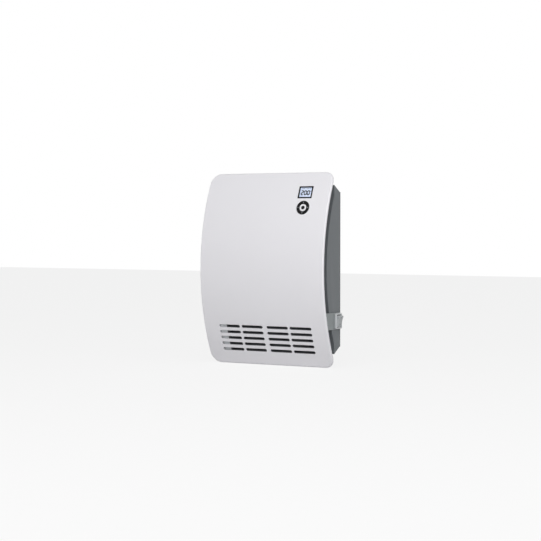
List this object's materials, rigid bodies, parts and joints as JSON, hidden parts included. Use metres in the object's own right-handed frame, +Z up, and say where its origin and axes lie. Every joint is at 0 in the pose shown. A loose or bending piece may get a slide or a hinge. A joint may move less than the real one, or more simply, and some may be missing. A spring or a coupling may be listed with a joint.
{
  "type": "bathroom wall fan heater",
  "caption": "Wall-hung bathroom fan heater: bowed front cover with louvred outlet slots, display and keys, mains rocker on the side, crossflow fan and heating bands inside.",
  "frame": {"origin": "centre of the wall bracket's back face, on the wall plane behind the middle of the cover", "axes": "+X to the right seen from the front, +Y into the wall, +Z up; the front faces -Y"},
  "size_m": [0.345, 0.136, 0.47],
  "materials": {
    "white_plastic": "injection-moulded ABS, semi-gloss",
    "grey_plastic": "injection-moulded ABS, fine texture",
    "dark_grey_plastic": "injection-moulded ABS, fine texture",
    "pale_plastic": "injection-moulded plastic, satin",
    "console_plastic": "injection-moulded plastic, satin",
    "black_gloss": "moulded plastic, high gloss",
    "screen_glass": "clear window over a lit display",
    "galvanised": "zinc-coated sheet",
    "steel": "bright steel",
    "laminations": "stacked electrical sheet",
    "copper": "enamelled copper wire, taped",
    "bronze": "sintered bronze",
    "black_rubber": "moulded rubber",
    "black_nylon": "glass-filled nylon",
    "mica": "pressed mica sheet",
    "circuit_board": "glass-epoxy with solder mask",
    "cream_nylon": "nylon"
  },
  "bodies": {
    "heater_body": {"cable_clamp": "black_nylon", "cable_grommet": "black_rubber", "cover_screw_1": "steel", "cover_screw_2": "steel", "display_board": "circuit_board", "fan_bush": "bronze", "fan_bush_mount": "black_rubber", "fan_scroll": "galvanised", "fan_tongue": "galvanised", "frame_screw_1": "steel", "frame_screw_2": "steel", "frame_screw_3": "steel", "frame_screw_4": "steel", "front_cover": "white_plastic", "heater_frame": "galvanised", "heating_band_1": "steel", "heating_band_2": "steel", "heating_band_3": "steel", "heating_band_4": "steel", "intake_frame": "dark_grey_plastic", "key_mat": "black_rubber", "key_ring": "white_plastic", "lcd_frame": "black_gloss", "lcd_screen": "screen_glass", "mica_card_1": "mica", "mica_card_2": "mica", "mica_card_3": "mica", "motor_bridge_inner": "galvanised", "motor_bridge_outer": "galvanised", "motor_coil": "copper", "motor_screw_1": "steel", "motor_screw_2": "steel", "motor_stator": "laminations", "outlet_duct": "pale_plastic", "outlet_grille": "black_nylon", "power_board": "circuit_board", "rear_housing": "grey_plastic", "relay_1": "black_nylon", "relay_2": "black_nylon", "room_sensor": "black_nylon", "switch_bezel": "pale_plastic", "switch_body": "black_nylon", "switch_console": "console_plastic", "terminal_block": "cream_nylon", "thermal_cutout": "black_nylon", "transformer": "laminations", "wall_bracket": "galvanised"},
    "fan_rotor": {"fan_impeller": "black_nylon", "motor_shaft": "steel", "motor_rotor": "laminations", "fan_stub_pin": "steel"},
    "mains_rocker": {"switch_rocker": "pale_plastic"},
    "key_up_button": {"key_up": "black_gloss"},
    "key_right_button": {"key_right": "black_gloss"},
    "key_down_button": {"key_down": "black_gloss"},
    "key_left_button": {"key_left": "black_gloss"},
    "key_centre_button": {"key_centre": "black_gloss"}
  },
  "joints": [
    {"name": "fan_spin", "type": "hinge", "parent": "heater_body", "child": "fan_rotor", "pos_m": [0, -0.062, 0.02], "axis": [1, 0, 0], "continuous": true},
    {"name": "mains_switch", "type": "hinge", "parent": "heater_body", "child": "mains_rocker", "pos_m": [0.1533, -0.0225, -0.1248], "axis": [0, -1, 0], "range_deg": [0, 22]},
    {"name": "press_key_up", "type": "slide", "parent": "heater_body", "child": "key_up_button", "axis": [0, 0.9535, -0.3015], "range_m": [0, 0.0006], "stiffness_N_per_m": 1500},
    {"name": "press_key_right", "type": "slide", "parent": "heater_body", "child": "key_right_button", "axis": [0, 0.9535, -0.3015], "range_m": [0, 0.0006], "stiffness_N_per_m": 1500},
    {"name": "press_key_down", "type": "slide", "parent": "heater_body", "child": "key_down_button", "axis": [0, 0.9535, -0.3015], "range_m": [0, 0.0006], "stiffness_N_per_m": 1500},
    {"name": "press_key_left", "type": "slide", "parent": "heater_body", "child": "key_left_button", "axis": [0, 0.9535, -0.3015], "range_m": [0, 0.0006], "stiffness_N_per_m": 1500},
    {"name": "press_key_centre", "type": "slide", "parent": "heater_body", "child": "key_centre_button", "axis": [0, 0.9535, -0.3015], "range_m": [0, 0.0006], "stiffness_N_per_m": 1500}
  ]
}
